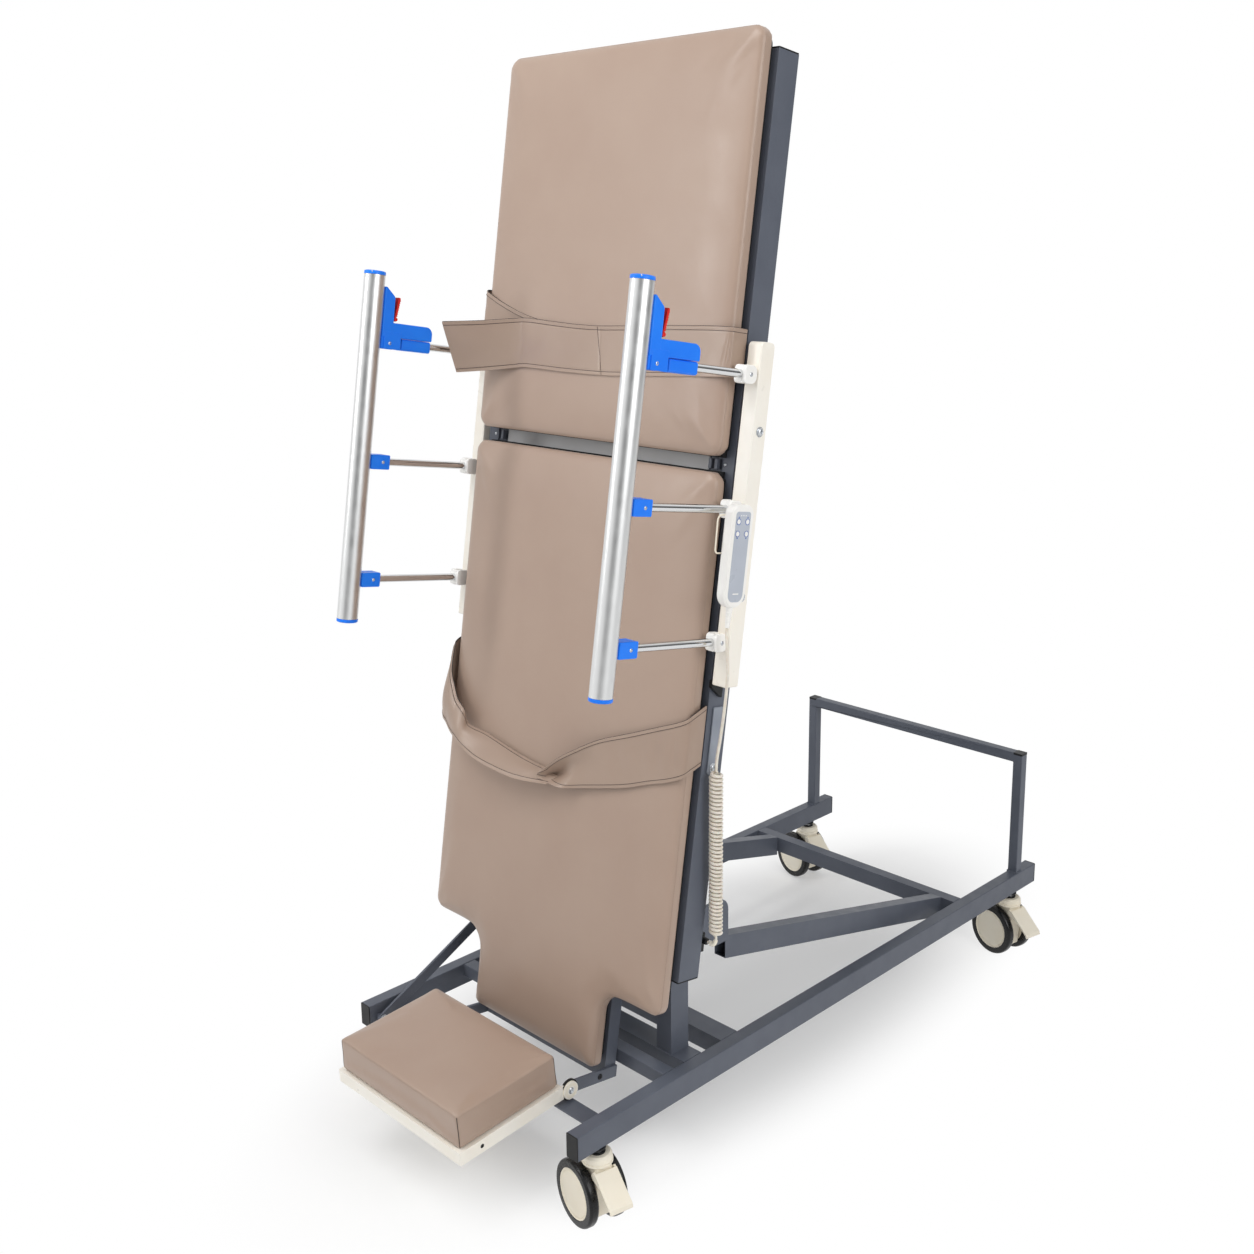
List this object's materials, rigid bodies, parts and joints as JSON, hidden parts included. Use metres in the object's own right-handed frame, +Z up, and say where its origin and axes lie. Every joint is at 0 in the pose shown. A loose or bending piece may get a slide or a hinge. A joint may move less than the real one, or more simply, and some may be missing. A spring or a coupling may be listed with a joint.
{
  "type": "physiotherapy tilt table",
  "caption": "Wheeled tilt table: padded two-part bed on two posts with a footboard, straps, folding side rails, braked twin casters and a corded handset.",
  "frame": {"origin": "on the floor under the middle of the table's box", "axes": "+Z up, +Y from the footboard towards the head end's wheels, +X towards the handset's side"},
  "size_m": [0.846, 1.7778, 2.192],
  "materials": {
    "dark_paint": "satin grey powder coat",
    "cream_paint": "satin cream powder coat",
    "cream_plastic": "satin moulded",
    "leatherette": "matte vinyl leatherette",
    "satin_aluminium": "satin anodised",
    "bright_chrome": "polished plating",
    "blue_plastic": "satin moulded",
    "red_plastic": "glossy moulded",
    "black_plastic": "satin moulded",
    "grey_paint": "satin mid grey paint",
    "steel_plate": "dull plated",
    "pale_cord": "satin cable sheath",
    "black_tyre": "smooth moulded"
  },
  "bodies": {
    "base": {"rail_right": "dark_paint", "rail_left": "dark_paint", "front_cross_bar": "dark_paint", "cross_tube_front": "dark_paint", "post_frame": "dark_paint", "cross_tube_mid": "dark_paint", "brace_frame": "dark_paint", "rear_hoop": "dark_paint", "post_stay": "dark_paint"},
    "bed": {"bed_frame": "dark_paint", "gap_plate": "grey_paint", "tongue_frame": "dark_paint", "upper_pad": "leatherette", "lower_pad": "leatherette", "side_housing_right": "cream_paint", "side_housing_left": "cream_paint", "handset": "cream_plastic", "cord_socket": "black_plastic", "handset_lead": "pale_cord", "cord_tail": "pale_cord", "curly_cord": "pale_cord", "chest_strap": "leatherette", "knee_strap": "leatherette", "strap_plate": "steel_plate"},
    "footboard": {"footboard_tray": "cream_paint", "footboard_pad": "leatherette"},
    "actuator_body": {"actuator_housing": "grey_paint"},
    "actuator_stick": {"actuator_rod": "bright_chrome"},
    "rod_upper_right": {"rail_rod_upper_right": "bright_chrome"},
    "rod_lower_right": {"rail_rod_lower_right": "bright_chrome"},
    "rod_middle_right": {"rail_rod_middle_right": "bright_chrome"},
    "rail_right": {"side_rail_right": "satin_aluminium", "rail_latch_right": "blue_plastic", "rail_socket_lower_right": "blue_plastic", "rail_socket_middle_right": "blue_plastic"},
    "lever_right": {"latch_lever_right": "red_plastic"},
    "rod_upper_left": {"rail_rod_upper_left": "bright_chrome"},
    "rod_lower_left": {"rail_rod_lower_left": "bright_chrome"},
    "rod_middle_left": {"rail_rod_middle_left": "bright_chrome"},
    "rail_left": {"side_rail_left": "satin_aluminium", "rail_latch_left": "blue_plastic", "rail_socket_lower_left": "blue_plastic", "rail_socket_middle_left": "blue_plastic"},
    "lever_left": {"latch_lever_left": "red_plastic"},
    "caster_front_right": {"caster_fork_front_right": "cream_plastic"},
    "wheels_front_right": {"caster_wheel_front_right": "black_tyre"},
    "pedal_front_right": {"caster_pedal_front_right": "cream_plastic"},
    "caster_front_left": {"caster_fork_front_left": "cream_plastic"},
    "wheels_front_left": {"caster_wheel_front_left": "black_tyre"},
    "pedal_front_left": {"caster_pedal_front_left": "cream_plastic"},
    "caster_rear_right": {"caster_fork_rear_right": "cream_plastic"},
    "wheels_rear_right": {"caster_wheel_rear_right": "black_tyre"},
    "pedal_rear_right": {"caster_pedal_rear_right": "cream_plastic"},
    "caster_rear_left": {"caster_fork_rear_left": "cream_plastic"},
    "wheels_rear_left": {"caster_wheel_rear_left": "black_tyre"},
    "pedal_rear_left": {"caster_pedal_rear_left": "cream_plastic"},
    "button_upper_front": {"handset_button_upper_front": "cream_plastic"},
    "button_upper_rear": {"handset_button_upper_rear": "cream_plastic"},
    "button_lower_front": {"handset_button_lower_front": "cream_plastic"},
    "button_lower_rear": {"handset_button_lower_rear": "cream_plastic"}
  },
  "joints": [
    {"name": "bed_tilt", "type": "hinge", "parent": "base", "child": "bed", "pos_m": [-0.00275, -0.39011, 0.529], "axis": [1, 0, 0], "range_deg": [-81, 0]},
    {"name": "actuator_swing", "type": "hinge", "parent": "base", "child": "actuator_body", "pos_m": [-0.00275, -0.28011, 0.257], "axis": [1, 0, 0], "range_deg": [-57, 0]},
    {"name": "actuator_extend", "type": "slide", "parent": "actuator_body", "child": "actuator_stick", "axis": [0, -0.0397, 0.9992], "range_m": [-0.291, 0]},
    {"name": "footboard_pitch", "type": "hinge", "parent": "bed", "child": "footboard", "pos_m": [-0.00275, -0.61594, 0.19623], "axis": [1, 0, 0], "range_deg": [-19, 6]},
    {"name": "rod_upper_right_fold", "type": "hinge", "parent": "bed", "child": "rod_upper_right", "pos_m": [0.37575, -0.31817, 1.57766], "axis": [1, 0, 0], "range_deg": [-78, 0]},
    {"name": "rod_lower_right_fold", "type": "hinge", "parent": "bed", "child": "rod_lower_right", "pos_m": [0.37575, -0.39483, 1.09369], "axis": [1, 0, 0], "range_deg": [-78, 0]},
    {"name": "rod_middle_right_fold", "type": "hinge", "parent": "bed", "child": "rod_middle_right", "pos_m": [0.37575, -0.3565, 1.33567], "axis": [1, 0, 0], "range_deg": [-78, 0]},
    {"name": "rail_right_hinge", "type": "hinge", "parent": "rod_upper_right", "child": "rail_right", "pos_m": [0.37575, -0.55423, 1.61505], "axis": [1, 0, 0], "range_deg": [0, 78]},
    {"name": "lever_right_press", "type": "hinge", "parent": "rail_right", "child": "lever_right", "pos_m": [0.37575, -0.55199, 1.65924], "axis": [1, 0, 0], "range_deg": [0, 8], "stiffness_Nm_per_rad": 0.6},
    {"name": "rod_upper_left_fold", "type": "hinge", "parent": "bed", "child": "rod_upper_left", "pos_m": [-0.38125, -0.31817, 1.57766], "axis": [1, 0, 0], "range_deg": [-78, 0]},
    {"name": "rod_lower_left_fold", "type": "hinge", "parent": "bed", "child": "rod_lower_left", "pos_m": [-0.38125, -0.39483, 1.09369], "axis": [1, 0, 0], "range_deg": [-78, 0]},
    {"name": "rod_middle_left_fold", "type": "hinge", "parent": "bed", "child": "rod_middle_left", "pos_m": [-0.38125, -0.3565, 1.33567], "axis": [1, 0, 0], "range_deg": [-78, 0]},
    {"name": "rail_left_hinge", "type": "hinge", "parent": "rod_upper_left", "child": "rail_left", "pos_m": [-0.38125, -0.55423, 1.61505], "axis": [1, 0, 0], "range_deg": [0, 78]},
    {"name": "lever_left_press", "type": "hinge", "parent": "rail_left", "child": "lever_left", "pos_m": [-0.38125, -0.55199, 1.65924], "axis": [1, 0, 0], "range_deg": [0, 8], "stiffness_Nm_per_rad": 0.6},
    {"name": "caster_front_right_swivel", "type": "hinge", "parent": "base", "child": "caster_front_right", "pos_m": [0.32475, -0.66911, 0.167], "axis": [0, 0, 1], "continuous": true},
    {"name": "wheels_front_right_roll", "type": "hinge", "parent": "caster_front_right", "child": "wheels_front_right", "pos_m": [0.30323, -0.66453, 0.065], "axis": [0.2079, 0.9781, 0], "continuous": true},
    {"name": "pedal_front_right_press", "type": "hinge", "parent": "caster_front_right", "child": "pedal_front_right", "pos_m": [0.34626, -0.67368, 0.122], "axis": [0.2079, 0.9781, 0], "range_deg": [0, 12]},
    {"name": "caster_front_left_swivel", "type": "hinge", "parent": "base", "child": "caster_front_left", "pos_m": [-0.33025, -0.66911, 0.167], "axis": [0, 0, 1], "continuous": true},
    {"name": "wheels_front_left_roll", "type": "hinge", "parent": "caster_front_left", "child": "wheels_front_left", "pos_m": [-0.35177, -0.66453, 0.065], "axis": [0.2079, 0.9781, 0], "continuous": true},
    {"name": "pedal_front_left_press", "type": "hinge", "parent": "caster_front_left", "child": "pedal_front_left", "pos_m": [-0.30873, -0.67368, 0.122], "axis": [0.2079, 0.9781, 0], "range_deg": [0, 12]},
    {"name": "caster_rear_right_swivel", "type": "hinge", "parent": "base", "child": "caster_rear_right", "pos_m": [0.32475, 0.79389, 0.167], "axis": [0, 0, 1], "continuous": true},
    {"name": "wheels_rear_right_roll", "type": "hinge", "parent": "caster_rear_right", "child": "wheels_rear_right", "pos_m": [0.30323, 0.79847, 0.065], "axis": [0.2079, 0.9781, 0], "continuous": true},
    {"name": "pedal_rear_right_press", "type": "hinge", "parent": "caster_rear_right", "child": "pedal_rear_right", "pos_m": [0.34626, 0.78932, 0.122], "axis": [0.2079, 0.9781, 0], "range_deg": [0, 12]},
    {"name": "caster_rear_left_swivel", "type": "hinge", "parent": "base", "child": "caster_rear_left", "pos_m": [-0.33025, 0.79389, 0.167], "axis": [0, 0, 1], "continuous": true},
    {"name": "wheels_rear_left_roll", "type": "hinge", "parent": "caster_rear_left", "child": "wheels_rear_left", "pos_m": [-0.35177, 0.79847, 0.065], "axis": [0.2079, 0.9781, 0], "continuous": true},
    {"name": "pedal_rear_left_press", "type": "hinge", "parent": "caster_rear_left", "child": "pedal_rear_left", "pos_m": [-0.30873, 0.78932, 0.122], "axis": [0.2079, 0.9781, 0], "range_deg": [0, 12]},
    {"name": "button_upper_front_press", "type": "slide", "parent": "bed", "child": "button_upper_front", "axis": [-1, 0, 0], "range_m": [0, 0.001], "stiffness_N_per_m": 200},
    {"name": "button_upper_rear_press", "type": "slide", "parent": "bed", "child": "button_upper_rear", "axis": [-1, 0, 0], "range_m": [0, 0.001], "stiffness_N_per_m": 200},
    {"name": "button_lower_front_press", "type": "slide", "parent": "bed", "child": "button_lower_front", "axis": [-1, 0, 0], "range_m": [0, 0.001], "stiffness_N_per_m": 200},
    {"name": "button_lower_rear_press", "type": "slide", "parent": "bed", "child": "button_lower_rear", "axis": [-1, 0, 0], "range_m": [0, 0.001], "stiffness_N_per_m": 200}
  ],
  "couplings": [
    {"joint": "actuator_swing", "follows": "bed_tilt", "ratio": 0.7021},
    {"joint": "actuator_extend", "follows": "bed_tilt", "m_per_rad": 0.2054},
    {"joint": "rod_lower_right_fold", "follows": "rod_upper_right_fold", "ratio": 1},
    {"joint": "rod_middle_right_fold", "follows": "rod_upper_right_fold", "ratio": 1},
    {"joint": "rail_right_hinge", "follows": "rod_upper_right_fold", "ratio": -1},
    {"joint": "rod_lower_left_fold", "follows": "rod_upper_left_fold", "ratio": 1},
    {"joint": "rod_middle_left_fold", "follows": "rod_upper_left_fold", "ratio": 1},
    {"joint": "rail_left_hinge", "follows": "rod_upper_left_fold", "ratio": -1}
  ]
}
